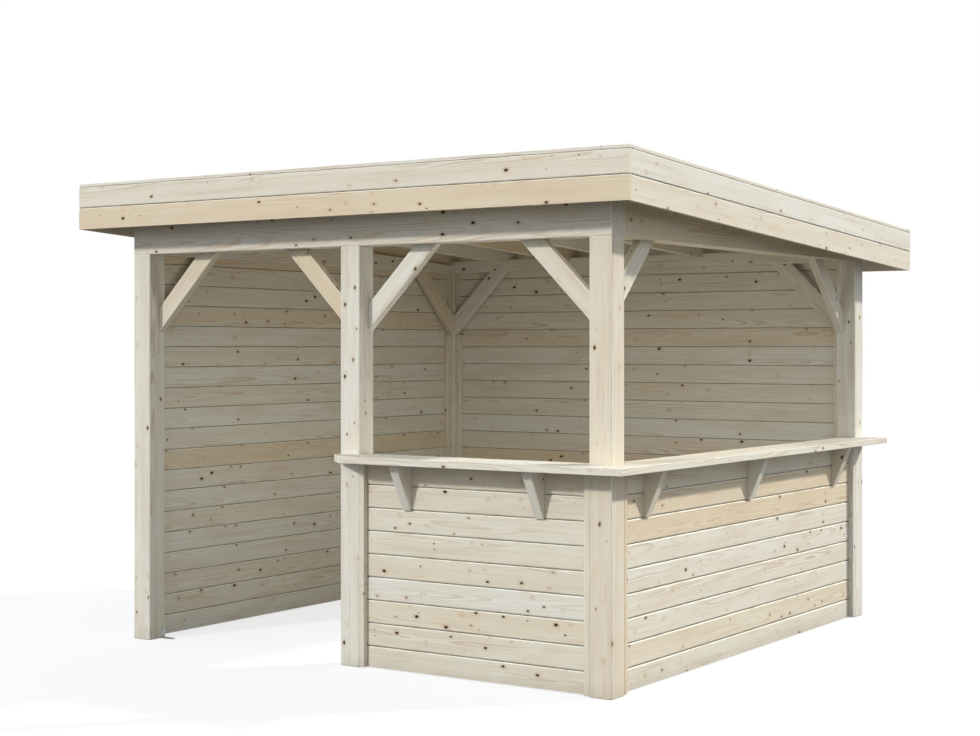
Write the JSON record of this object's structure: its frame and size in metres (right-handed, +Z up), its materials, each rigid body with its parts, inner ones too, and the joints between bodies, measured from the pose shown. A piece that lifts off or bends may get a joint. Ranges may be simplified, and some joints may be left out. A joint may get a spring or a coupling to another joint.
{
  "type": "open-fronted timber garden pavilion",
  "caption": "Square open-fronted garden pavilion of pale timber with a mono-pitch roof, boarded walls and an L-shaped serving counter.",
  "frame": {"origin": "on the ground, under the middle of the roof", "axes": "+Z up; the open front faces -Y and the side counter faces +X"},
  "size_m": [3.48, 3.51, 2.5244],
  "materials": {
    "spruce_timber": "planed bare spruce posts, beams, braces, battens and counter",
    "spruce_boards": "planed bare spruce tongue-and-groove boards",
    "galvanised_steel": "zinc-plated strip"
  },
  "bodies": {
    "root": {"post_front_left": "spruce_timber", "post_front_middle": "spruce_timber", "post_front_right": "spruce_timber", "post_back_left": "spruce_timber", "post_back_right": "spruce_timber", "beam_front": "spruce_timber", "beam_back": "spruce_timber", "beam_left": "spruce_timber", "beam_right": "spruce_timber", "brace_front_left": "spruce_timber", "brace_middle_left": "spruce_timber", "brace_middle_right": "spruce_timber", "brace_front_right": "spruce_timber", "brace_right_front": "spruce_timber", "brace_right_back": "spruce_timber", "brace_back_left": "spruce_timber", "brace_back_right": "spruce_timber", "brace_left_front": "spruce_timber", "brace_left_back": "spruce_timber", "rafter_1": "spruce_timber", "rafter_2": "spruce_timber", "rafter_3": "spruce_timber", "rafter_4": "spruce_timber", "rafter_5": "spruce_timber", "rafter_6": "spruce_timber", "rafter_7": "spruce_timber", "roof_deck": "spruce_boards", "fascia_front": "spruce_boards", "fascia_back": "spruce_boards", "fascia_left": "spruce_boards", "fascia_right": "spruce_boards", "wall_left": "spruce_boards", "wall_back": "spruce_boards", "half_wall_front": "spruce_boards", "half_wall_right": "spruce_boards", "full_wall_battens": "spruce_timber", "half_wall_battens": "spruce_timber", "counter_front": "spruce_timber", "counter_right": "spruce_timber", "bracket_front_1": "spruce_timber", "bracket_front_2": "spruce_timber", "bracket_right_1": "spruce_timber", "bracket_right_2": "spruce_timber", "bracket_right_3": "spruce_timber", "post_anchors": "galvanised_steel"}
  },
  "joints": []
}
